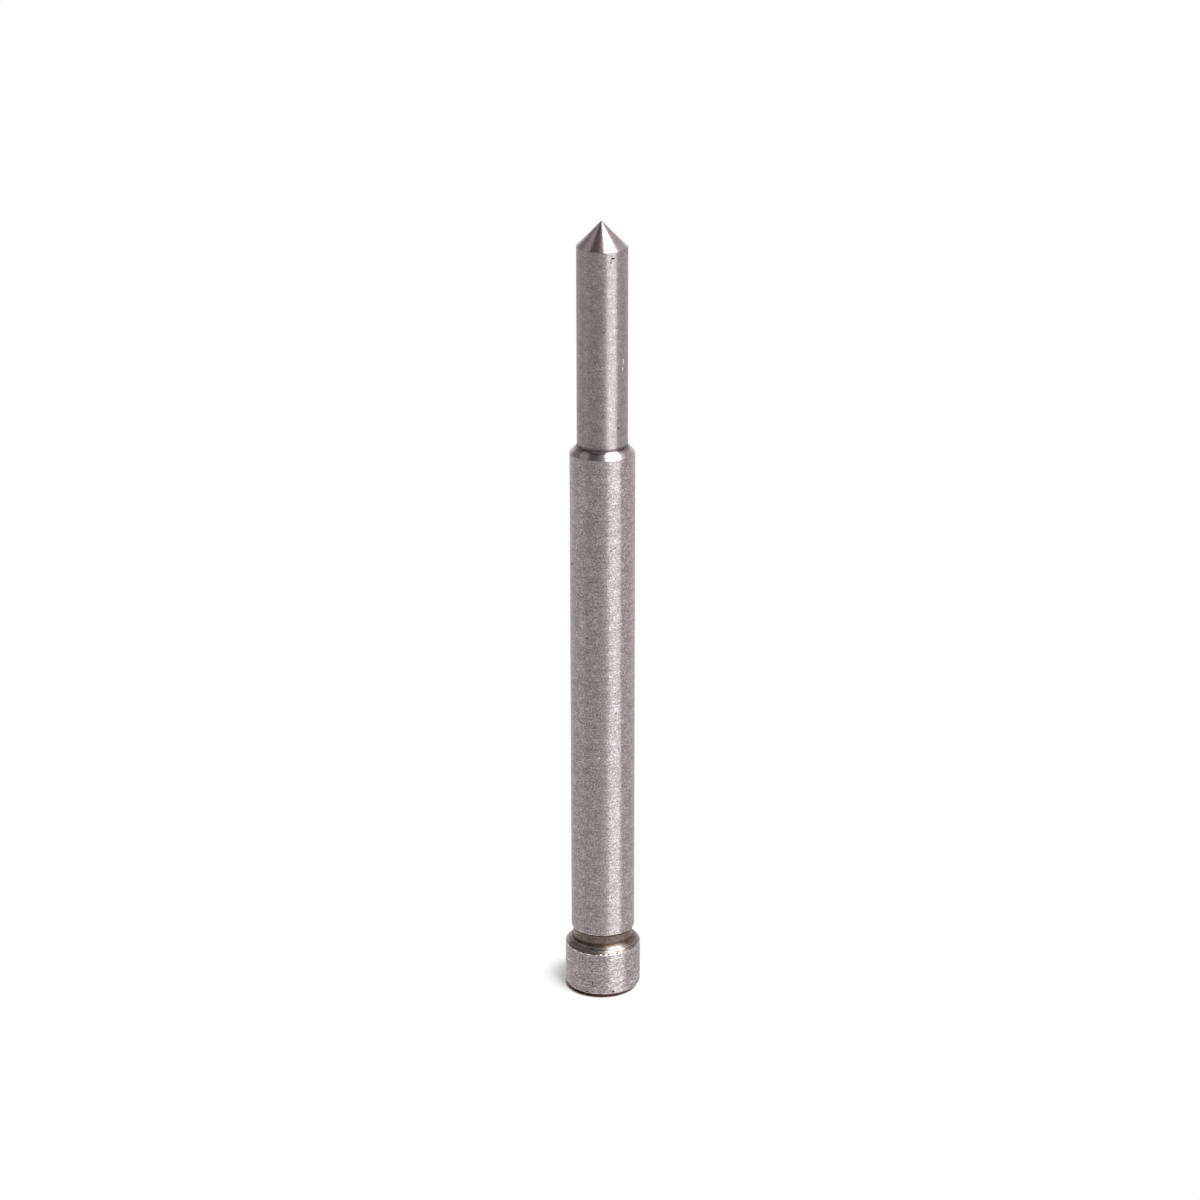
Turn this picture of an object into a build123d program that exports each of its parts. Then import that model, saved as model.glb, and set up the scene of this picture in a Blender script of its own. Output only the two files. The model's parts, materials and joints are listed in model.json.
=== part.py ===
from build123d import *
import os
from math import cos, radians, sin, tan

# Pilot pin of an annular cutter: one solid, turned and ground from a single steel bar.
# It stands on the end face of its head. The origin is the centre of that face, and +Z
# runs along the axis to the point.

# Driving dimensions, in millimetres
overall_length = 100.0      # end face of the head to the tip of the point
shank_diameter = 7.98       # ground shank that slides in the cutter
nose_diameter = 6.2         # slender front that reaches through the cut
nose_length = 28.5          # rim of the shank to the tip of the point
head_diameter = 9.5         # collar that stops the pin in the arbor
head_height = 6.0           # end face to the upper rim of the head
neck_depth = 0.24           # depth of the groove above the head, below the shank
neck_length = 1.2           # straight floor of the groove
point_radius = 0.1          # rounding at the very tip

# Angles, in degrees
seat_angle = 45.0           # cone from the groove to the head, to the axis
lip_angle = 45.0            # bevel from the groove to the shank, to the axis
shoulder_angle = 45.0       # cone from the shank to the nose, to the axis
point_angle = 90.0          # whole angle of the point

# Edge treatments, in millimetres
foot_bevel_height = 0.6     # bevel round the end face, along the axis
foot_bevel_width = 0.4      # the same bevel, across the end face
neck_fillet = 0.15          # root of the groove, at the head
shoulder_fillet = 0.5       # root of the nose, at the shoulder
fillet_share = 0.9          # a fillet takes up no more than this share of its walls

# Radii of the turned diameters
shank_radius = shank_diameter / 2
nose_radius = nose_diameter / 2
head_radius = head_diameter / 2
neck_radius = shank_radius - neck_depth

# Heights above the end face
seat_width = head_radius - neck_radius
seat_top = head_height + seat_width / tan(radians(seat_angle))
neck_top = seat_top + neck_length
shank_bottom = neck_top + neck_depth / tan(radians(lip_angle))
shank_top = overall_length - nose_length
shoulder_width = shank_radius - nose_radius
nose_bottom = shank_top + shoulder_width / tan(radians(shoulder_angle))

# The tip is a small ball that runs into the cone of the point without an edge
point_slope = radians(point_angle / 2)
ball_height = overall_length - point_radius
ball_edge_radius = point_radius * cos(point_slope)
ball_edge_height = ball_height + point_radius * sin(point_slope)
nose_top = ball_edge_height - (nose_radius - ball_edge_radius) / tan(point_slope)


def root_radius(wanted, cone_width, cone_angle, wall):
    """The fillet radius at the foot of a wall on a cone, kept within both of them."""
    cone = cone_width / sin(radians(cone_angle))
    return min(wanted, fillet_share * min(cone, wall) / tan(radians(cone_angle / 2)))


neck_root = root_radius(neck_fillet, seat_width, seat_angle, neck_length)
nose_root = root_radius(shoulder_fillet, shoulder_width, shoulder_angle, nose_top - nose_bottom)

with BuildPart() as pilot_pin:
    # Half section of the pin, up the outside from the end face to the tip
    with BuildSketch(Plane.XZ):
        with BuildLine():
            outside = FilletPolyline(
                (0, 0),
                (head_radius, 0),
                (head_radius, head_height),
                (neck_radius, seat_top),
                (neck_radius, neck_top),
                (shank_radius, shank_bottom),
                (shank_radius, shank_top),
                (nose_radius, nose_bottom),
                (nose_radius, nose_top),
                (ball_edge_radius, ball_edge_height),
                radius=(0, 0, neck_root, 0, 0, 0, nose_root, 0),
            )
            tip = CenterArc((0, ball_height), point_radius, point_angle / 2, 90 - point_angle / 2)
            Line(tip @ 1, outside @ 0)
        make_face()
    revolve(axis=Axis.Z)

    # The lowest turned edge is the rim of the end face, and the lowest turned wall is the head
    foot_rim = pilot_pin.edges().filter_by(GeomType.CIRCLE).sort_by(Axis.Z)[0]
    head_side = pilot_pin.faces().filter_by(GeomType.CYLINDER).sort_by(Axis.Z)[0]
    chamfer(foot_rim, length=foot_bevel_height, length2=foot_bevel_width, reference=head_side)

pilot_pin.part.label = "pilot_pin"

os.makedirs("parts", exist_ok=True)
export_step(pilot_pin.part, "parts/pilot_pin.step")
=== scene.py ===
import json
import logging
from dataclasses import dataclass
from enum import Enum
from math import ceil, cos, hypot, pi, radians, sin, tan
from typing import Any

import bmesh
import bpy
from mathutils import Matrix, Vector


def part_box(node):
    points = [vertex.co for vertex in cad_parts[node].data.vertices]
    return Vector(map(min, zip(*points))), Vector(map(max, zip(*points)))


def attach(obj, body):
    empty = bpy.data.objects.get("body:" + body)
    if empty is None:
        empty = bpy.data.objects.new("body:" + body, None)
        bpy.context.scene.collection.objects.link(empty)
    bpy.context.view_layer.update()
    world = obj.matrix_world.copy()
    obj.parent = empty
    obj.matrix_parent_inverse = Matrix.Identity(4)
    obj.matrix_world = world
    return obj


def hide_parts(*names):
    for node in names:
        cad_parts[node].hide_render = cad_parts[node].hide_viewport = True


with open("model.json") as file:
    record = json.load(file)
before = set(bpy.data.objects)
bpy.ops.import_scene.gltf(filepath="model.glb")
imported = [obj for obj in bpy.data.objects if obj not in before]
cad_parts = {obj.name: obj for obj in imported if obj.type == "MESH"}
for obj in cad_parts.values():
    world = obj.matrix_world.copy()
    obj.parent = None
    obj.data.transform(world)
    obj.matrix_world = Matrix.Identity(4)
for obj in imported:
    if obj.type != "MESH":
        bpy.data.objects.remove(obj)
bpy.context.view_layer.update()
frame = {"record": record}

# A pilot pin, turned and ground from one steel bar, that stands on the end face of its head.
# Its shape is built in millimetres and brought to metres at its end; the studio is in metres.

NODE = "pilot_pin"
BODY = "root"
MM = 0.001
MICRON = 1e-6
PAPER_TONE = "#FBF8F9"
FELT_TONE = "#181818"
# The cones of the pin stand at this angle to its axis, in degrees, so they rise as far as they widen.
CONE_ANGLE = 45.0
# Vertices of the pin that are closer than this are one, in millimetres.
SAME_PLACE = 1e-4
# A cut that passes a vertex of the pin closer than this goes through it, in millimetres.
CUT_REACH = 1e-3
# Faces of the pin whose middle is lower than this are its end face, in millimetres.
FOOT_LEVEL = 1e-3
# Faces within this share of the rounding of a worn rim are the rim.
RIM_SHARE = 0.98
# The noise of the marks: the middle of its range, how many finer layers it has, and how strong each
# of them is beside the one before it.
NOISE_MIDDLE = 0.5
NOISE_LAYERS = 2.0
NOISE_FADE = 0.5
# The marks are raised to this power, which keeps most of the steel dark and its light marks few.
SPARKLE = 1.8
# A rare scratch shows where its noise passes the first value, and is full at the second.
SCRATCH_START = 0.66
SCRATCH_FULL = 0.78
# The colour of a nick is full within the first share of its half size, and gone at the second.
NICK_CORE = 0.5
NICK_END = 1.2
# The gloss is turned by this share of a full turn, so that it is drawn out along the pin.
GLOSS_TURN = 0.25
LOG = logging.getLogger("pilot_pin_scene")


def linear(code: str) -> tuple[float, float, float, float]:
    """Turn an sRGB colour into the linear one that the shaders use.

    Args:
        code: The colour as a hex code such as "#8C8483".

    Returns:
        Linear red, green, blue and an alpha of 1.
    """
    parts = [int(code[i:i + 2], 16) / 255 for i in (1, 3, 5)]
    red, green, blue = (p / 12.92 if p <= 0.04045 else ((p + 0.055) / 1.055) ** 2.4 for p in parts)
    return red, green, blue, 1.0


def direction(azimuth: float, elevation: float) -> Vector:
    """Give the direction from the pin to a place in the studio.

    Args:
        azimuth: Degrees from the camera's side towards +X.
        elevation: Degrees above the floor.

    Returns:
        The unit vector.
    """
    turn, lift = radians(azimuth), radians(elevation)
    return Vector((sin(turn) * cos(lift), -cos(turn) * cos(lift), sin(lift)))


def empty_tree(owner: bpy.types.Material | bpy.types.World) -> bpy.types.NodeTree:
    """Switch a material or a world to nodes and empty its tree.

    Args:
        owner: The material or the world.

    Returns:
        Its node tree, with no node in it.
    """
    owner.use_nodes = True
    owner.node_tree.nodes.clear()
    return owner.node_tree


def add_node(tree: bpy.types.NodeTree, kind: str, inputs: dict[str | int, Any] | None = None,
             **settings: Any) -> bpy.types.Node:
    """Add one shader node with its settings and links.

    Args:
        tree: The node tree that gets the node.
        kind: The node's type name.
        inputs: For each input, by name or place, a plain value or the socket that feeds it.
        **settings: The node's own properties.

    Returns:
        The new node.
    """
    node = tree.nodes.new(kind)
    for name, value in settings.items():
        setattr(node, name, value)
    for name, value in (inputs or {}).items():
        if isinstance(value, bpy.types.NodeSocket):
            tree.links.new(value, node.inputs[name])
        else:
            node.inputs[name].default_value = value
    return node


def add_object(bm: bmesh.types.BMesh, name: str, materials: list[bpy.types.Material]) -> bpy.types.Object:
    """Turn a finished bmesh into an object of the scene, and free it.

    Args:
        bm: The bmesh.
        name: Name of the object and its mesh.
        materials: The object's materials, in the order that its faces count them.

    Returns:
        The new object.
    """
    mesh = bpy.data.meshes.new(name)
    bm.to_mesh(mesh)
    bm.free()
    for material in materials:
        mesh.materials.append(material)
    made = bpy.data.objects.new(name, mesh)
    bpy.context.scene.collection.objects.link(made)
    return made


class Zone(Enum):
    """The faces of the pin, each as the machine that cut it left it."""

    FOOT = "faced end of the head"
    BEVEL = "turned bevel round the foot"
    HEAD = "ground side of the head"
    SEAT = "turned seat above the head"
    NECK = "turned floor and lip of the groove"
    SHANK = "ground shank"
    SHOULDER = "turned shoulder"
    NOSE = "ground nose"
    POINT = "turned point"
    # The worn rims get a paler steel, a painted highlight.
    RIM = "worn rims"


@dataclass(frozen=True)
class Wall:
    """A straight ground wall of the pin, in millimetres.

    Attributes:
        radius: Its radius.
        bottom: The height at which it starts.
        top: The height at which it ends.
    """

    radius: float
    bottom: float
    top: float

    @classmethod
    def from_mount(cls, record: dict, name: str) -> "Wall":
        """Read a wall from one of the part's mounts.

        Args:
            record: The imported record.
            name: The mount's name.

        Returns:
            The wall that the mount stands for.
        """
        mount = next(m for m in record["mounts"] if m["name"] == name)
        middle = mount["pos_m"][2] / MM
        half = mount["dims"]["length_mm"] / 2
        return cls(mount["dims"]["r_mm"], middle - half, middle + half)


@dataclass(frozen=True)
class Corner:
    """A corner of the half section, in millimetres.

    Attributes:
        radius: Distance from the axis.
        height: Height above the end face.
        run: How far the rounding of the corner runs along each of its sides.
        segments: Number of facets in that rounding.
        worn_and_highlit: Whether it is an outer rim that wear has polished and that is painted pale as a
            highlight.
    """

    radius: float
    height: float
    run: float
    segments: int = 3
    worn_and_highlit: bool = False


@dataclass(frozen=True)
class NickWithPaintedLight:
    """A small dent or spot that use has left on the pin, in millimetres, with its colour: a pale one is a
    painted glint, and a dark one on a dent is dirt in it and painted shade of the pit.

    Attributes:
        zones: The faces that it reaches.
        azimuth: Degrees from the camera's side towards +X.
        height: Height above the end face.
        width: Half its size round the pin.
        tall: Half its size along the pin.
        depth: How deep it is.
        tone: Its colour.
    """

    zones: tuple[Zone, ...]
    azimuth: float
    height: float
    width: float
    tall: float
    depth: float
    tone: str


@dataclass(frozen=True)
class Pattern:
    """One kind of mark that a cut leaves all over a surface.

    Attributes:
        run: Length of a mark round the pin, in millimetres.
        pitch: Its width along the cut, in millimetres.
        share: How strongly it shifts the tone from dark to light.
        depth: How deep it is, in thousandths of a millimetre.
        rare: Whether only a few of the marks show, as single light scratches.
    """

    run: float
    pitch: float
    share: float
    depth: float
    rare: bool = False


@dataclass(frozen=True)
class PaintedShadeRing:
    """A ring of painted shade round the pin, darkest at its middle, in millimetres.

    Attributes:
        height: Height of the ring above the end face.
        reach: How far it spreads above and below.
        share: How much of the steel it hides at its middle.
        tone: Its colour.
    """

    height: float
    reach: float
    share: float
    tone: str


@dataclass(frozen=True)
class SteelFinish:
    """Steel as one cut left it: its tone, its lay and the marks in it.

    Attributes:
        name: Name of the material.
        light: Tone of the high spots.
        dark: Tone of the low spots.
        roughness: Width of the gloss.
        lay: How much wider the gloss is along the pin than round it, from 0 to 1.
        patterns: The marks that the cut left.
        painted_shade_rings: Rings of painted shade over it.
    """

    name: str
    light: str
    dark: str
    roughness: float
    lay: float
    patterns: tuple[Pattern, ...]
    painted_shade_rings: tuple[PaintedShadeRing, ...] = ()

    def material(self, spots: list[tuple[NickWithPaintedLight, Vector]]) -> bpy.types.Material:
        """Build the shader of this finish.

        Args:
            spots: The nicks on it, each with its middle in millimetres.

        Returns:
            The material.
        """
        made = bpy.data.materials.new(self.name)
        tree = empty_tree(made)
        place = add_node(tree, "ShaderNodeTexCoord").outputs["Object"]
        place = add_node(tree, "ShaderNodeVectorMath", {0: place, "Scale": 1 / MM},
                         operation="SCALE").outputs[0]
        marks = self._marks(tree, place)
        shade_ringed_colour = self._paint_shade_rings(tree, place, self._tone(tree, marks))
        shader = add_node(tree, "ShaderNodeBsdfPrincipled", {
            "Base Color": self._spotted(tree, place, shade_ringed_colour, spots),
            "Metallic": 1.0,
            "Roughness": self.roughness,
            "Anisotropic": self.lay,
            "Anisotropic Rotation": GLOSS_TURN,
            "Normal": self._relief(tree, marks),
        })
        add_node(tree, "ShaderNodeOutputMaterial", {"Surface": shader.outputs["BSDF"]})
        return made

    def _marks(self, tree: bpy.types.NodeTree, place: bpy.types.NodeSocket) -> list[bpy.types.NodeSocket]:
        """Add the noise of each pattern.

        The noise runs on the feed, which is height less radius: it grows along the walls, down
        the cones and across the end face alike, so each pattern keeps its pitch on all of them.

        Args:
            tree: The material's node tree.
            place: The place on the pin, in millimetres.

        Returns:
            One value from 0 to 1 for each pattern.
        """
        axes = add_node(tree, "ShaderNodeSeparateXYZ", {0: place}).outputs
        across = add_node(tree, "ShaderNodeVectorMath", {0: place, 1: (1, 1, 0)},
                          operation="MULTIPLY").outputs[0]
        radius = add_node(tree, "ShaderNodeVectorMath", {0: across}, operation="LENGTH").outputs["Value"]
        feed = add_node(tree, "ShaderNodeMath", {0: axes["Z"], 1: radius}, operation="SUBTRACT").outputs[0]
        laid = add_node(tree, "ShaderNodeCombineXYZ", {"X": axes["X"], "Y": axes["Y"], "Z": feed}).outputs[0]
        marks = []
        for pattern in self.patterns:
            size = (1 / pattern.run, 1 / pattern.run, 1 / pattern.pitch)
            sized = add_node(tree, "ShaderNodeVectorMath", {0: laid, 1: size},
                             operation="MULTIPLY").outputs[0]
            field = add_node(tree, "ShaderNodeTexNoise", {
                "Vector": sized, "Scale": 1.0, "Detail": NOISE_LAYERS, "Roughness": NOISE_FADE})
            mark = field.outputs["Fac"]
            if pattern.rare:
                mark = add_node(tree, "ShaderNodeMapRange", {
                    "Value": mark, "From Min": SCRATCH_START, "From Max": SCRATCH_FULL}).outputs[0]
            marks.append(mark)
        return marks

    def _tone(self, tree: bpy.types.NodeTree, marks: list[bpy.types.NodeSocket]) -> bpy.types.NodeSocket:
        """Mix the dark and the light tone by the marks.

        The sum of the marks keeps the middle of their range, whatever their shares are. The rare
        scratches only add to it.

        Args:
            tree: The material's node tree.
            marks: One value for each pattern.

        Returns:
            The colour.
        """
        total = NOISE_MIDDLE * (1 - sum(pattern.share for pattern in self.patterns if not pattern.rare))
        for mark, pattern in zip(marks, self.patterns):
            total = add_node(tree, "ShaderNodeMath", {
                0: mark, 1: pattern.share, 2: total}, operation="MULTIPLY_ADD").outputs[0]
        few = add_node(tree, "ShaderNodeMath", {0: total, 1: SPARKLE}, operation="POWER").outputs[0]
        mixed = add_node(tree, "ShaderNodeMix", {
            "Factor": few, 6: linear(self.dark), 7: linear(self.light)}, data_type="RGBA")
        return mixed.outputs[2]

    def _paint_shade_rings(self, tree: bpy.types.NodeTree, place: bpy.types.NodeSocket,
                colour: bpy.types.NodeSocket) -> bpy.types.NodeSocket:
        """Lay the rings of painted shade over the tone.

        Args:
            tree: The material's node tree.
            place: The place on the pin, in millimetres.
            colour: The tone under the painted shade.

        Returns:
            The colour with its painted shade.
        """
        height = add_node(tree, "ShaderNodeSeparateXYZ", {0: place}).outputs["Z"]
        # Each ring darkens the tone towards its height, as painted shade.
        for shade_ring in self.painted_shade_rings:
            off = add_node(tree, "ShaderNodeMath", {0: height, 1: shade_ring.height},
                           operation="SUBTRACT").outputs[0]
            away = add_node(tree, "ShaderNodeMath", {0: off}, operation="ABSOLUTE").outputs[0]
            cover = add_node(tree, "ShaderNodeMapRange", {
                "Value": away, "From Min": shade_ring.reach, "From Max": 0.0, "To Max": shade_ring.share},
                interpolation_type="SMOOTHSTEP").outputs[0]
            colour = add_node(tree, "ShaderNodeMix", {
                "Factor": cover, 6: colour, 7: linear(shade_ring.tone)}, data_type="RGBA").outputs[2]
        return colour

    def _spotted(self, tree: bpy.types.NodeTree, place: bpy.types.NodeSocket, colour: bpy.types.NodeSocket,
                 spots: list[tuple[NickWithPaintedLight, Vector]]) -> bpy.types.NodeSocket:
        """Lay the colour of the nicks over the tone.

        Args:
            tree: The material's node tree.
            place: The place on the pin, in millimetres.
            colour: The tone under the nicks.
            spots: The nicks, each with its middle in millimetres.

        Returns:
            The colour with its nicks.
        """
        for nick, middle in spots:
            size = (1 / nick.width, 1 / nick.width, 1 / nick.tall)
            off = add_node(tree, "ShaderNodeVectorMath", {0: place, 1: middle},
                           operation="SUBTRACT").outputs[0]
            off = add_node(tree, "ShaderNodeVectorMath", {0: off, 1: size},
                           operation="MULTIPLY").outputs[0]
            away = add_node(tree, "ShaderNodeVectorMath", {0: off}, operation="LENGTH").outputs["Value"]
            cover = add_node(tree, "ShaderNodeMapRange", {
                "Value": away, "From Min": NICK_END, "From Max": NICK_CORE},
                interpolation_type="SMOOTHSTEP").outputs[0]
            colour = add_node(tree, "ShaderNodeMix", {
                "Factor": cover, 6: colour, 7: linear(nick.tone)}, data_type="RGBA").outputs[2]
        return colour

    def _relief(self, tree: bpy.types.NodeTree, marks: list[bpy.types.NodeSocket]) -> bpy.types.NodeSocket:
        """Raise the surface by the marks.

        Args:
            tree: The material's node tree.
            marks: One value for each pattern.

        Returns:
            The normal.
        """
        height = 0.0
        for mark, pattern in zip(marks, self.patterns):
            height = add_node(tree, "ShaderNodeMath", {
                0: mark, 1: pattern.depth, 2: height}, operation="MULTIPLY_ADD").outputs[0]
        return add_node(tree, "ShaderNodeBump", {"Height": height, "Distance": MICRON}).outputs["Normal"]


# Rings of painted shade, brown to black: at the foot where it meets the floor, in the roots of the groove
# and of the nose, and under the lip of the groove.
FOOT_PAINTED_SHADE = PaintedShadeRing(height=0.0, reach=0.45, share=0.5, tone="#26140F")
GROOVE_ROOT_PAINTED_SHADE = PaintedShadeRing(height=6.98, reach=0.3, share=0.85, tone="#3E332E")
SEAT_ROOT_PAINTED_SHADE = PaintedShadeRing(height=7.0, reach=0.65, share=0.85, tone="#40271F")
LIP_PAINTED_SHADE = PaintedShadeRing(height=8.34, reach=0.3, share=0.8, tone="#3A2F2B")
NOSE_ROOT_PAINTED_SHADE = PaintedShadeRing(height=72.42, reach=0.5, share=0.8, tone="#403633")

# The marks of a grinding wheel or a turning tool are a few hundredths of a millimetre wide, too fine
# to show in a picture of the whole pin. So each pattern below is drawn as coarse as it needs to show.

# Steel ground between wheels: short scratches run round the pin, so the gloss is drawn out along
# it, and a fine mottle of high and low spots makes the surface sparkle.
GROUND = SteelFinish(
    name="centreless_ground_steel", light="#E5DADC", dark="#908586", roughness=0.42, lay=1.0,
    patterns=(Pattern(0.19, 0.15, 2.0, 2.4), Pattern(1.3, 0.8, 0.4, 2.0), Pattern(3.0, 0.14, 0.5, 0.4),
              Pattern(1.6, 0.14, 0.5, 2.0, rare=True)))
# The slender nose, ground with a finer wheel: a weaker mottle, so its strip of light is clearer.
GROUND_NOSE = SteelFinish(
    name="fine_ground_steel", light="#F6E9EA", dark="#867B7C", roughness=0.49, lay=1.0,
    patterns=(Pattern(0.19, 0.15, 1.05, 3.0), Pattern(1.3, 0.9, 0.3, 2.5), Pattern(3.0, 0.14, 0.2, 0.3)),
    painted_shade_rings=(NOSE_ROOT_PAINTED_SHADE,))
# The head, ground apart from the shank: coarser and longer marks, which show as a clear speckle.
GROUND_HEAD = SteelFinish(
    name="coarse_ground_steel", light="#F3E6E7", dark="#867C7D", roughness=0.42, lay=1.0,
    patterns=(Pattern(0.3, 0.12, 1.9, 6.0), Pattern(0.9, 0.4, 0.5, 4.0), Pattern(3.0, 0.14, 0.5, 0.6),
              Pattern(1.2, 0.14, 0.6, 3.0, rare=True)))
# Steel cut by a sharp tool at a fine feed: smooth and bright, so a lamp shows in it as a clear streak
# with a slightly ragged edge.
TURNED = SteelFinish(
    name="fine_turned_steel", light="#D0C8C8", dark="#A49293", roughness=0.25, lay=0.6,
    patterns=(Pattern(0.45, 0.25, 0.9, 10.0), Pattern(1.5, 0.7, 0.4, 6.0), Pattern(5.0, 0.2, 0.5, 0.8)),
    painted_shade_rings=(NOSE_ROOT_PAINTED_SHADE,))
# The seat, turned with a rounder tool and dulled by use: the lamp spreads into a soft glow.
SEATED = SteelFinish(
    name="dull_turned_steel", light="#DCD4D3", dark="#513E36", roughness=0.37, lay=0.6,
    patterns=(Pattern(0.4, 0.25, 0.8, 5.0), Pattern(1.4, 0.7, 0.6, 6.0), Pattern(6.0, 0.17, 1.2, 2.5)),
    painted_shade_rings=(SEAT_ROOT_PAINTED_SHADE,))
# The floor of the groove, which no wheel reached: turned and brown from oil and heat, and dimmed further as
# painted shade of the groove.
GROOVE_BROWNED_AND_SHADED = SteelFinish(
    name="browned_steel_painted_shade", light="#9A8981", dark="#695A54", roughness=0.4, lay=0.9,
    patterns=(Pattern(0.4, 0.3, 1.2, 3.0), Pattern(1.2, 0.8, 0.8, 4.0), Pattern(5.0, 0.15, 0.8, 1.0)),
    painted_shade_rings=(GROOVE_ROOT_PAINTED_SHADE, LIP_PAINTED_SHADE))
# The bevel round the foot: its dark brown tones are painted shade, so it draws a line above the floor.
BEVEL_PAINTED_SHADE = SteelFinish(
    name="turned_steel_painted_shade", light="#776058", dark="#37261F", roughness=0.45, lay=0.3,
    patterns=(Pattern(0.4, 0.25, 2.0, 4.0), Pattern(1.2, 0.5, 1.0, 4.0)),
    painted_shade_rings=(FOOT_PAINTED_SHADE,))
# Steel faced square across its end: rings of the facing tool round the centre.
FACED = SteelFinish(
    name="faced_steel", light="#C4BBBA", dark="#8A8281", roughness=0.32, lay=0.7,
    patterns=(Pattern(0.5, 0.35, 1.0, 1.0), Pattern(1.6, 0.8, 0.6, 3.0), Pattern(6.0, 0.2, 1.6, 2.0)))
# Rims that handling has polished, painted paler than the walls as a highlight, so they draw a thin and
# broken light line.
RIM_WEAR_AND_PAINTED_HIGHLIGHT = SteelFinish(
    name="worn_rim_painted_highlight", light="#FFF8F7", dark="#A59C9B", roughness=0.3, lay=0.5,
    patterns=(Pattern(0.5, 0.4, 3.0, 4.0),))

FINISH_OF = {
    Zone.FOOT: FACED,
    Zone.BEVEL: BEVEL_PAINTED_SHADE,
    Zone.HEAD: GROUND_HEAD,
    Zone.SEAT: SEATED,
    Zone.NECK: GROOVE_BROWNED_AND_SHADED,
    Zone.SHANK: GROUND,
    Zone.SHOULDER: TURNED,
    Zone.NOSE: GROUND_NOSE,
    Zone.POINT: TURNED,
    Zone.RIM: RIM_WEAR_AND_PAINTED_HIGHLIGHT,
}

# The marks of use, from the nose down to the foot, each where the photograph shows one.
# The pale tones are painted glints; the dark tones on the dents are partly dirt and partly painted shade of
# the pit.
NICKS_WITH_PAINTED_LIGHT = (
    NickWithPaintedLight((Zone.NOSE,), 23.8, 96.14, 0.27, 0.13, 0.04, "#221C1C"),
    NickWithPaintedLight((Zone.NOSE,), 19.3, 95.68, 0.14, 0.16, 0.02, "#7A6A66"),
    NickWithPaintedLight((Zone.NOSE,), 3.2, 87.23, 0.16, 0.12, 0.0, "#67514C"),
    NickWithPaintedLight((Zone.NOSE,), 53.9, 83.33, 0.12, 0.42, 0.0, "#FFF8F6"),
    NickWithPaintedLight((Zone.NOSE,), 51.4, 82.43, 0.12, 0.26, 0.0, "#FFF8F6"),
    NickWithPaintedLight((Zone.NOSE,), 39.3, 75.19, 0.26, 0.18, 0.0, "#8A6C58"),
    NickWithPaintedLight((Zone.NOSE, Zone.SHOULDER), -58.9, 72.55, 0.18, 0.18, 0.0, "#241D1B"),
    NickWithPaintedLight((Zone.SHANK,), 78.1, 65.72, 0.3, 0.14, 0.05, "#5E5250"),
    NickWithPaintedLight((Zone.SHANK,), 78.8, 62.11, 0.3, 0.14, 0.05, "#5E5250"),
    NickWithPaintedLight((Zone.SHANK,), 20.8, 60.32, 0.24, 0.1, 0.02, "#6A5B57"),
    NickWithPaintedLight((Zone.SHANK,), 15.3, 60.1, 0.16, 0.09, 0.0, "#6A5B57"),
    NickWithPaintedLight((Zone.SHANK,), -72.0, 57.5, 0.3, 0.2, 0.06, "#453A38"),
    NickWithPaintedLight((Zone.SHANK,), -78.4, 44.0, 0.26, 0.12, 0.05, "#5E5250"),
    NickWithPaintedLight((Zone.SHANK,), 24.7, 39.39, 0.26, 0.08, 0.03, "#FFF8F6"),
    NickWithPaintedLight((Zone.SHANK,), 24.4, 38.74, 0.12, 0.16, 0.02, "#43332F"),
    NickWithPaintedLight((Zone.SHANK,), -5.7, 32.85, 0.12, 0.14, 0.02, "#FFF8F6"),
    NickWithPaintedLight((Zone.NECK,), -21.1, 8.16, 0.14, 0.07, 0.0, "#1E1613"),
    NickWithPaintedLight((Zone.NECK,), 11.8, 7.77, 0.12, 0.09, 0.0, "#3A2C26"),
    NickWithPaintedLight((Zone.SEAT, Zone.RIM), 22.8, 6.09, 0.14, 0.08, 0.05, "#4A1F1A"),
    NickWithPaintedLight((Zone.SEAT, Zone.RIM, Zone.HEAD), -2.2, 6.06, 0.2, 0.1, 0.06, "#FFF8F6"),
    NickWithPaintedLight((Zone.SEAT, Zone.RIM, Zone.HEAD), 6.2, 6.05, 0.16, 0.1, 0.05, "#FFF8F6"),
    NickWithPaintedLight((Zone.SEAT, Zone.RIM), -9.5, 6.04, 0.12, 0.08, 0.04, "#F0E8E6"),
    NickWithPaintedLight((Zone.HEAD,), -16.2, 2.07, 0.12, 0.3, 0.03, "#6A5F5E"),
    NickWithPaintedLight((Zone.RIM, Zone.BEVEL, Zone.HEAD), -25.3, 0.7, 0.25, 0.12, 0.05, "#2C2422"),
    NickWithPaintedLight((Zone.RIM, Zone.BEVEL, Zone.HEAD), 15.6, 0.8, 0.2, 0.14, 0.05, "#3A302D"),
)


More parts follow.
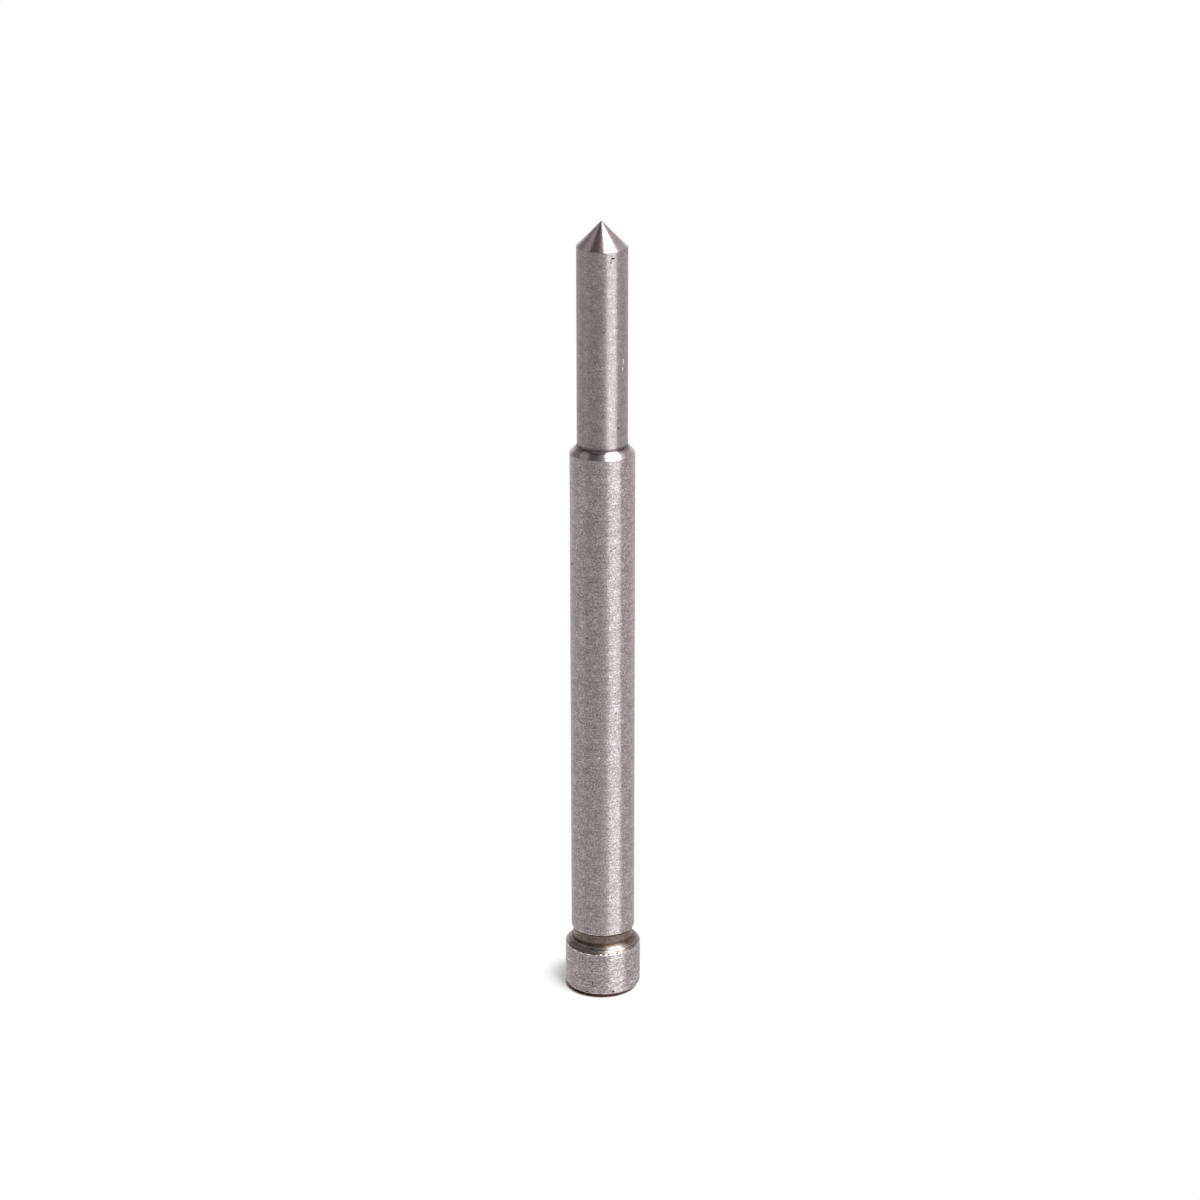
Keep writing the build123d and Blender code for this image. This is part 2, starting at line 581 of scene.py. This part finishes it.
@dataclass
class TurnedPin:
    """The whole pin as one turned mesh, in millimetres until it is finished.

    Attributes:
        head: Side of the head.
        shank: Side of the shank.
        nose: Side of the nose.
        length: End face of the head to the tip.
        neck_depth: Depth of the groove below the shank.
        foot_bevel: Width of the bevel round the end face.
        tip_radius: Rounding of the tip.
        shoulder_fillet: Radius at the root of the nose.
        neck_fillet: Radius at the root of the groove.
        edge: How far the wear of a sharp rim runs along each side.
        steps: Number of facets round the pin.
        tip_steps: Number of rings in the rounding of the tip.
        fillet_steps: Number of rings in the fillet at the root of the nose.
        ring_gap: Longest distance between two rings of the mesh.
        hold: How many roundings away from a corner the rings that hold it stand.
        nick_rings: The rings cut through each dent, as shares of its half size.
        drift: How far off the axis the point was turned, along X and Y.
        nicks_with_painted_light: The dents and spots that use has left, with their painted glints and
            painted pit shade.
    """

    head: Wall
    shank: Wall
    nose: Wall
    length: float
    neck_depth: float = 0.24
    foot_bevel: float = 0.4
    tip_radius: float = 0.1
    shoulder_fillet: float = 0.5
    neck_fillet: float = 0.15
    edge: float = 0.06
    steps: int = 256
    tip_steps: int = 4
    fillet_steps: int = 6
    ring_gap: float = 1.0
    hold: float = 2.2
    nick_rings: tuple[float, ...] = (-1.0, -0.5, 0.0, 0.5, 1.0)
    drift: tuple[float, float] = (-0.1, 0.1)
    nicks_with_painted_light: tuple[NickWithPaintedLight, ...] = NICKS_WITH_PAINTED_LIGHT

    @property
    def neck(self) -> float:
        """Give the radius of the groove's floor."""
        return self.shank.radius - self.neck_depth

    @property
    def seat_top(self) -> float:
        """Give the height at which the seat meets the groove's floor."""
        return self.head.top + self.head.radius - self.neck

    @property
    def nose_bottom(self) -> float:
        """Give the height at which the shoulder meets the nose."""
        return self.shank.top + self.shank.radius - self.nose.radius

    def corners(self) -> list[Corner]:
        """List the corners of the half section, from the point down to the end face."""
        root = tan(radians(CONE_ANGLE / 2))
        return [
            Corner(self.nose.radius, self.nose.top, self.edge),
            Corner(self.nose.radius, self.nose_bottom, self.shoulder_fillet * root, self.fillet_steps),
            Corner(self.shank.radius, self.shank.top, self.edge),
            Corner(self.shank.radius, self.shank.bottom, self.edge, worn_and_highlit=True),
            Corner(self.neck, self.shank.bottom - self.neck_depth, 0.0),
            Corner(self.neck, self.seat_top, self.neck_fillet * root),
            Corner(self.head.radius, self.head.top, self.edge, worn_and_highlit=True),
            Corner(self.head.radius, self.head.bottom, self.edge, worn_and_highlit=True),
            Corner(self.head.radius - self.foot_bevel, 0.0, self.edge / 2),
        ]

    def build(self) -> bpy.types.Object:
        """Make the pin's object, in metres.

        Returns:
            The finished object.
        """
        bm = bmesh.new()
        self._draw_half_section(bm)
        self._spin(bm)
        self._round_corners(bm)
        self._add_holding_rings(bm)
        zones = list(Zone)
        for face in bm.faces:
            face.material_index = zones.index(self._zone_at(face.calc_center_median()))
            face.smooth = True
        self._press_nicks(bm)
        self._shift_point(bm)
        bmesh.ops.scale(bm, vec=(MM, MM, MM), verts=bm.verts)
        return add_object(bm, "turned_pin", self._materials())

    def _materials(self) -> list[bpy.types.Material]:
        """Build the finishes, each with the nicks that reach it.

        Returns:
            The material of each zone, in the order of the zones.
        """
        made = {}
        for finish in dict.fromkeys(FINISH_OF.values()):
            reached = [nick for nick in self.nicks_with_painted_light if finish in [FINISH_OF[zone] for zone in nick.zones]]
            made[finish] = finish.material([(nick, self._middle_of(nick)) for nick in reached])
        return [made[FINISH_OF[zone]] for zone in Zone]

    def _draw_half_section(self, bm: bmesh.types.BMesh) -> None:
        """Draw the outside of the pin in the XZ plane, from the tip to the centre of the end face."""
        last = bm.verts.new((0, 0, self.length))
        for _ in range(self.tip_steps):
            last = bmesh.ops.extrude_vert_indiv(bm, verts=[last])["verts"][0]
            bmesh.ops.rotate(bm, verts=[last], cent=(0, 0, self.length - self.tip_radius),
                             matrix=Matrix.Rotation(radians(CONE_ANGLE / self.tip_steps), 3, "Y"))
        for radius, height in [(c.radius, c.height) for c in self.corners()] + [(0.0, 0.0)]:
            start, end = last.co.copy(), Vector((radius, 0, height))
            pieces = ceil((end - start).length / self.ring_gap)
            for i in range(pieces):
                last = bmesh.ops.extrude_vert_indiv(bm, verts=[last])["verts"][0]
                last.co = start.lerp(end, (i + 1) / pieces)

    def _spin(self, bm: bmesh.types.BMesh) -> None:
        """Spin the half section about the axis and close the two poles."""
        bmesh.ops.spin(bm, geom=bm.verts[:] + bm.edges[:], cent=(0, 0, 0), axis=(0, 0, 1), angle=2 * pi,
                       steps=self.steps, use_merge=True, use_duplicate=False)
        bmesh.ops.remove_doubles(bm, verts=bm.verts, dist=SAME_PLACE)
        bmesh.ops.recalc_face_normals(bm, faces=bm.faces)

    def _ring(self, bm: bmesh.types.BMesh, corner: Corner) -> list[bmesh.types.BMEdge]:
        """Find the edges that run round the pin at a corner.

        Args:
            bm: The spun mesh.
            corner: The corner of the half section.

        Returns:
            The ring's edges.
        """
        def on_ring(vert: bmesh.types.BMVert) -> bool:
            """Tell whether a vertex lies on the corner."""
            return (abs(vert.co.z - corner.height) < SAME_PLACE
                    and abs(hypot(*vert.co.xy) - corner.radius) < SAME_PLACE)
        return [e for e in bm.edges if all(on_ring(v) for v in e.verts)]

    def _round_corners(self, bm: bmesh.types.BMesh) -> None:
        """Round the corners: the rims a little, the roots by their fillets."""
        for corner in self.corners():
            if corner.run:
                bmesh.ops.bevel(bm, geom=self._ring(bm, corner), offset=corner.run, segments=corner.segments,
                                profile=0.5, affect="EDGES", material=-1)

    def _add_holding_rings(self, bm: bmesh.types.BMesh) -> None:
        """Cut a ring close to each side of a corner, so that the walls shade straight up to it."""
        for corner in self.corners():
            for side in (-self.hold, self.hold):
                height = corner.height + side * max(corner.run, self.edge)
                if 0 < height < self.length:
                    bmesh.ops.bisect_plane(bm, geom=bm.verts[:] + bm.edges[:] + bm.faces[:], dist=CUT_REACH,
                                           plane_co=(0, 0, height), plane_no=(0, 0, 1))

    def _middle_of(self, nick: NickWithPaintedLight) -> Vector:
        """Find the middle of a nick on the pin's side.

        Args:
            nick: The nick.

        Returns:
            The place, in millimetres.
        """
        corners = self.corners()
        upper, lower = next(pair for pair in zip(corners, corners[1:]) if pair[1].height <= nick.height)
        share = (nick.height - lower.height) / (upper.height - lower.height)
        radius = lower.radius + share * (upper.radius - lower.radius)
        return direction(nick.azimuth, 0) * radius + Vector((0, 0, nick.height))

    def _press_nicks(self, bm: bmesh.types.BMesh) -> None:
        """Press the dents into the side, each with a few more rings of the mesh to take its shape."""
        for nick in self.nicks_with_painted_light:
            if not nick.depth:
                continue
            middle = self._middle_of(nick)
            for step in self.nick_rings:
                bmesh.ops.bisect_plane(bm, geom=bm.verts[:] + bm.edges[:] + bm.faces[:], dist=CUT_REACH,
                                       plane_co=(0, 0, nick.height + step * nick.tall), plane_no=(0, 0, 1))
            inward = -direction(nick.azimuth, 0) * nick.depth
            for vert in bm.verts:
                off = vert.co - middle
                away = hypot(off.xy.length / nick.width, off.z / nick.tall)
                if away < 1:
                    vert.co += inward * (1 - away ** 2)

    def _zone_at(self, place: Vector) -> Zone:
        """Tell which zone of the pin a place belongs to.

        Args:
            place: The middle of a face.

        Returns:
            The face's zone.
        """
        radius, height = hypot(place.x, place.y), place.z
        if any(c.worn_and_highlit and hypot(radius - c.radius, height - c.height) < c.run * RIM_SHARE
               for c in self.corners()):
            return Zone.RIM
        tops = (
            (FOOT_LEVEL, Zone.FOOT),
            (self.head.bottom, Zone.BEVEL),
            (self.head.top, Zone.HEAD),
            (self.seat_top, Zone.SEAT),
            (self.shank.bottom, Zone.NECK),
            (self.shank.top, Zone.SHANK),
            (self.nose_bottom, Zone.SHOULDER),
            (self.nose.top, Zone.NOSE),
        )
        return next((zone for top, zone in tops if height < top), Zone.POINT)

    def _shift_point(self, bm: bmesh.types.BMesh) -> None:
        """Lean the cone of the point off the axis, so that its base cuts the nose askew.

        A cone of 45 degrees that is moved sideways cuts the nose higher on one side, so each
        vertex of the cone moves sideways by its share, and up or down by its side.
        """
        base = self.nose.top - self.edge
        drift = Vector((*self.drift, 0.0))
        for vert in bm.verts:
            if vert.co.z > base:
                share = min(1.0, (vert.co.z - base) / self.nose.radius)
                rise = vert.co.dot(drift) / self.nose.radius
                vert.co += drift * share + Vector((0, 0, rise * (1 - share)))


@dataclass(frozen=True)
class Glow:
    """A pale part of the room, which fades out round its middle.

    Attributes:
        azimuth: Where its middle is, in degrees from the camera's side towards +X.
        elevation: How high its middle is, in degrees.
        inner: Angle from the middle within which it is full.
        outer: Angle from the middle at which it ends.
        strength: How bright it is, where 1 is white.
    """

    azimuth: float
    elevation: float
    inner: float
    outer: float
    strength: float


@dataclass(frozen=True)
class Shade:
    """A round patch of the floor that shows its shadows, in metres.

    Attributes:
        middle: Where it is.
        full: Radius within which the shadows show fully.
        end: Radius beyond which the floor is plain white.
        veil: Share of plain white that stays even within the full radius.
        tone: Colour of the paper there; a darker one is painted shade.
    """

    middle: tuple[float, float, float]
    full: float
    end: float
    veil: float = 0.0
    tone: str = PAPER_TONE


@dataclass(frozen=True)
class Studio:
    """A pale sweep, one large softbox, the room and the camera, in metres and degrees.

    Attributes:
        floor_radius: Radius of the flat floor.
        floor_ring: Radius of the ring that divides it.
        wall_height: Height of the low wall round it.
        sweep_steps: Number of facets round the floor.
        shades: Patches of the floor, where the key's shadow falls and, close round the foot, where darker
            paper is painted shade.
        room_light: Brightness of the room away from its glows.
        glows: Pale parts of the room.
        key_azimuth: Where the softbox stands, from the camera's side towards +X.
        key_elevation: How high it stands.
        key_roll: How far it leans over to its side.
        key_distance: Pin to softbox.
        key_size: Its width and height.
        key_radiance: How bright it is, where 1 is white.
        key_tint: Its colour, a touch cooler than the room.
        flag_foot: Pin to the foot of the black card that is bent round its front.
        flag_top: Pin to the top of that card, which leans outwards.
        flag_height: Height of that card.
        flag_start: Where its left end stands, from the camera's side towards +X.
        flag_fade: Angle over which that end thins out to nothing.
        flag_spread: Angle that it takes up, seen from the pin.
        flag_steps: Number of facets along it.
        pin_middle: Height that the softbox faces.
        camera_aim: Height on the axis that the camera looks at.
        camera_side: How far the camera stands to the side, along X.
        camera_distance: Camera to that point.
        camera_elevation: How far the camera looks down.
        camera_roll: How far the camera leans to its side.
        lens: Its focal length, in millimetres.
        sensor: Width of its sensor, in millimetres.
        near: Distance at which its sight starts.
    """

    floor_radius: float = 2.5
    floor_ring: float = 0.3
    wall_height: float = 0.7
    sweep_steps: int = 96
    shades: tuple[Shade, ...] = (Shade((-0.0006, 0.0022, 0.0), 0.0043, 0.0075, 0.2),
                                 # The darker brown paper of this patch, close round the foot, is painted
                                 # contact shade.
                                 Shade((-0.0002, -0.0001, 0.0), 0.0043, 0.0048, tone="#A1867B"))
    room_light: float = 0.12
    glows: tuple[Glow, ...] = (Glow(140, 5, 25, 80, 0.62), Glow(-140, 20, 15, 45, 0.22),
                               Glow(-96, 48, 4, 19, 0.52), Glow(-22, 16, 20, 45, 0.75),
                               Glow(20, 25, 8, 28, 0.8), Glow(54, 51, 20, 46, 0.4),
                               Glow(94, 50, 4, 18, 0.7))
    key_azimuth: float = 53.6
    key_elevation: float = 48.3
    key_roll: float = -20.0
    key_distance: float = 1.8
    key_size: tuple[float, float] = (1.22, 1.47)
    key_radiance: float = 7.55
    key_tint: tuple[float, float, float] = (0.945, 1.0, 0.995)
    flag_foot: float = 0.1
    flag_top: float = 0.17
    flag_height: float = 0.03
    flag_start: float = -78.0
    flag_fade: float = 34.0
    flag_spread: float = 156.0
    flag_steps: int = 32
    pin_middle: float = 0.05
    camera_aim: float = 0.05234
    camera_side: float = -0.00031
    camera_distance: float = 0.3936
    camera_elevation: float = 20.46
    camera_roll: float = -0.08
    lens: float = 96.0
    sensor: float = 36.0
    near: float = 0.01

    def build(self) -> None:
        """Set the sweep, the softbox, the room and the camera."""
        self._add_sweep()
        self._add_flag()
        self._add_key()
        self._add_room()
        self._add_camera()
        bpy.context.scene.view_settings.view_transform = "Standard"

    def _add_sweep(self) -> None:
        """Make the floor with its low wall, as one spun sheet."""
        bm = bmesh.new()
        last = bm.verts.new((0, 0, 0))
        rim = self.floor_radius
        for radius, height in ((self.floor_ring, 0.0), (rim, 0.0), (rim, self.wall_height)):
            last = bmesh.ops.extrude_vert_indiv(bm, verts=[last])["verts"][0]
            last.co = (radius, 0, height)
        bmesh.ops.spin(bm, geom=bm.verts[:] + bm.edges[:], cent=(0, 0, 0), axis=(0, 0, 1), angle=2 * pi,
                       steps=self.sweep_steps, use_merge=True, use_duplicate=False)
        bmesh.ops.remove_doubles(bm, verts=bm.verts, dist=MICRON)
        sweep = add_object(bm, "sweep", [self._sweep_material()])

    def _sweep_material(self) -> bpy.types.Material:
        """Build white paper that takes the pin's shadow near it, with darker paper painted as shade where a
        patch has its own tone, and is plain white farther off.
        """
        made = bpy.data.materials.new("white_paper_sweep")
        tree = empty_tree(made)
        place = add_node(tree, "ShaderNodeTexCoord").outputs["Object"]
        white_share = 1.0
        tone = linear(PAPER_TONE)
        for shade in self.shades:
            away = add_node(tree, "ShaderNodeVectorMath", {
                0: place, 1: shade.middle}, operation="DISTANCE").outputs["Value"]
            beyond = add_node(tree, "ShaderNodeMapRange", {
                "Value": away, "From Min": shade.full, "From Max": shade.end, "To Min": shade.veil},
                interpolation_type="SMOOTHSTEP")
            white_share = add_node(tree, "ShaderNodeMath", {
                0: beyond.outputs[0], 1: white_share}, operation="MULTIPLY").outputs[0]
            tone = add_node(tree, "ShaderNodeMix", {
                "Factor": beyond.outputs[0], 6: linear(shade.tone), 7: tone}, data_type="RGBA").outputs[2]
        path = add_node(tree, "ShaderNodeLightPath").outputs
        seen = add_node(tree, "ShaderNodeMath", {
            0: path["Is Camera Ray"], 1: path["Is Glossy Ray"]}, operation="ADD")
        seen = add_node(tree, "ShaderNodeMath", {
            0: seen.outputs[0], 1: path["Is Transmission Ray"]}, operation="ADD", use_clamp=True)
        share = add_node(tree, "ShaderNodeMath", {
            0: seen.outputs[0], 1: white_share}, operation="MULTIPLY")
        paper = add_node(tree, "ShaderNodeBsdfDiffuse", {"Color": tone})
        white = add_node(tree, "ShaderNodeEmission", {"Color": (1, 1, 1, 1), "Strength": 1.0})
        mixed = add_node(tree, "ShaderNodeMixShader", {
            0: share.outputs[0], 1: paper.outputs[0], 2: white.outputs[0]})
        add_node(tree, "ShaderNodeOutputMaterial", {"Surface": mixed.outputs[0]})
        return made

    def _add_flag(self) -> None:
        """Bend a black card round the front, out of sight, so that steel high up mirrors less floor."""
        bm = bmesh.new()
        foot = bm.verts.new(direction(self.flag_start, 0) * self.flag_foot)
        top = bmesh.ops.extrude_vert_indiv(bm, verts=[foot])["verts"][0]
        top.co = direction(self.flag_start, 0) * self.flag_top + Vector((0, 0, self.flag_height))
        bmesh.ops.spin(bm, geom=bm.verts[:] + bm.edges[:], cent=(0, 0, 0), axis=(0, 0, 1),
                       angle=radians(self.flag_spread), steps=self.flag_steps, use_duplicate=False)
        flag = add_object(bm, "flag", [self._flag_material()])
        flag.visible_camera = flag.visible_diffuse = flag.visible_shadow = False

    def _flag_material(self) -> bpy.types.Material:
        """Build black felt that swallows light and thins out to nothing towards its left end."""
        made = bpy.data.materials.new("black_felt_card")
        tree = empty_tree(made)
        place = add_node(tree, "ShaderNodeTexCoord").outputs["Object"]
        axes = add_node(tree, "ShaderNodeSeparateXYZ", {0: place}).outputs
        front = add_node(tree, "ShaderNodeMath", {
            0: axes["Y"], 1: -1.0}, operation="MULTIPLY").outputs[0]
        turn = add_node(tree, "ShaderNodeMath", {
            0: axes["X"], 1: front}, operation="ARCTAN2").outputs[0]
        solid = add_node(tree, "ShaderNodeMapRange", {
            "Value": turn, "From Min": radians(self.flag_start),
            "From Max": radians(self.flag_start + self.flag_fade)}, interpolation_type="SMOOTHSTEP")
        clear = add_node(tree, "ShaderNodeBsdfTransparent")
        dark = add_node(tree, "ShaderNodeBsdfDiffuse", {"Color": linear(FELT_TONE)})
        mixed = add_node(tree, "ShaderNodeMixShader", {
            0: solid.outputs[0], 1: clear.outputs[0], 2: dark.outputs[0]})
        add_node(tree, "ShaderNodeOutputMaterial", {"Surface": mixed.outputs[0]})
        return made

    def _add_key(self) -> None:
        """Hang the softbox to the right of the camera, facing the pin."""
        width, height = self.key_size
        lamp = bpy.data.lights.new("key_softbox", "AREA")
        lamp.shape = "RECTANGLE"
        lamp.size = width
        lamp.size_y = height
        lamp.energy = self.key_radiance * pi * width * height
        lamp.color = self.key_tint
        towards = direction(self.key_azimuth, self.key_elevation)
        key = bpy.data.objects.new("key_softbox", lamp)
        key.matrix_world = (Matrix.Translation(Vector((0, 0, self.pin_middle)) + towards * self.key_distance)
                            @ towards.to_track_quat("Z", "Y").to_matrix().to_4x4()
                            @ Matrix.Rotation(radians(self.key_roll), 4, "Z"))
        key.visible_camera = False
        bpy.context.scene.collection.objects.link(key)

    def _add_room(self) -> None:
        """Fill the room above the sweep with dim light and its pale glows."""
        room = bpy.data.worlds.new("studio_room")
        tree = empty_tree(room)
        towards = add_node(tree, "ShaderNodeTexCoord").outputs["Generated"]
        light = self.room_light
        for glow in self.glows:
            middle = direction(glow.azimuth, glow.elevation)
            near = add_node(tree, "ShaderNodeVectorMath", {
                0: towards, 1: middle}, operation="DOT_PRODUCT").outputs["Value"]
            share = add_node(tree, "ShaderNodeMapRange", {
                "Value": near, "From Min": cos(radians(glow.outer)), "From Max": cos(radians(glow.inner))},
                interpolation_type="SMOOTHSTEP").outputs[0]
            light = add_node(tree, "ShaderNodeMath", {
                0: share, 1: glow.strength, 2: light}, operation="MULTIPLY_ADD").outputs[0]
        shader = add_node(tree, "ShaderNodeBackground", {"Color": (1, 1, 1, 1), "Strength": light})
        add_node(tree, "ShaderNodeOutputWorld", {"Surface": shader.outputs[0]})
        bpy.context.scene.world = room

    def _add_camera(self) -> None:
        """Set the camera at the photograph's angle."""
        lens = bpy.data.cameras.new("camera")
        lens.lens = self.lens
        lens.sensor_width = self.sensor
        lens.clip_start = self.near
        back = direction(0, self.camera_elevation)
        camera = bpy.data.objects.new("camera", lens)
        place = Vector((self.camera_side, 0, self.camera_aim)) + back * self.camera_distance
        camera.matrix_world = (Matrix.Translation(place) @ back.to_track_quat("Z", "Y").to_matrix().to_4x4()
                               @ Matrix.Rotation(radians(self.camera_roll), 4, "Z"))
        bpy.context.scene.collection.objects.link(camera)
        bpy.context.scene.camera = camera


def main() -> None:
    """Build the pin and the studio in order and report each."""
    logging.basicConfig(level=logging.INFO, format="%(name)s: %(message)s")
    record = frame["record"]
    pin = TurnedPin(
        head=Wall.from_mount(record, "head"),
        shank=Wall.from_mount(record, "shank"),
        nose=Wall.from_mount(record, "nose"),
        length=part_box(NODE)[1].z / MM,
    ).build()
    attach(pin, BODY)
    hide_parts(NODE)
    LOG.info("%s: %d faces", pin.name, len(pin.data.polygons))
    Studio().build()
    LOG.info("studio: sweep, softbox, room and camera")


if __name__ == "__main__":
    main()
